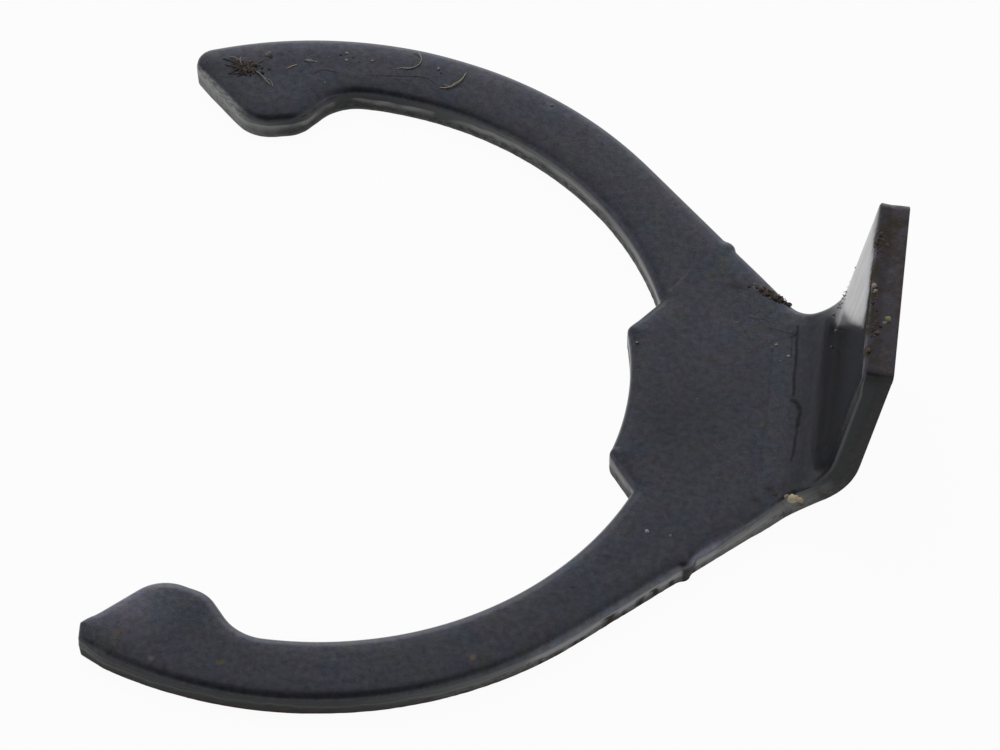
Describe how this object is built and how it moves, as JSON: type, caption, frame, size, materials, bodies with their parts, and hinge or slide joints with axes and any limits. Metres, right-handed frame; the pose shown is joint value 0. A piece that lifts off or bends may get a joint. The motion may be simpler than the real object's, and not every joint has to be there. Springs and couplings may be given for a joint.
{
  "type": "circlip",
  "caption": "Open crescent retaining clip of blackened spring steel that snaps sideways into a shaft's groove, with a folded-up pull tab behind it.",
  "frame": {"origin": "on the axis of the shaft that the clip grips, at the clip's flat underside", "axes": "+Z along the shaft's axis, towards the punched side and the way the tab stands; +X from the shaft's axis towards the tab; the mouth opens towards -X"},
  "size_m": [0.0359, 0.0404, 0.011],
  "materials": {
    "blackened_steel": "black oxide with a film of oil, paler where the sheet was sheared"
  },
  "bodies": {
    "root": {"circlip": "blackened_steel"}
  },
  "joints": []
}
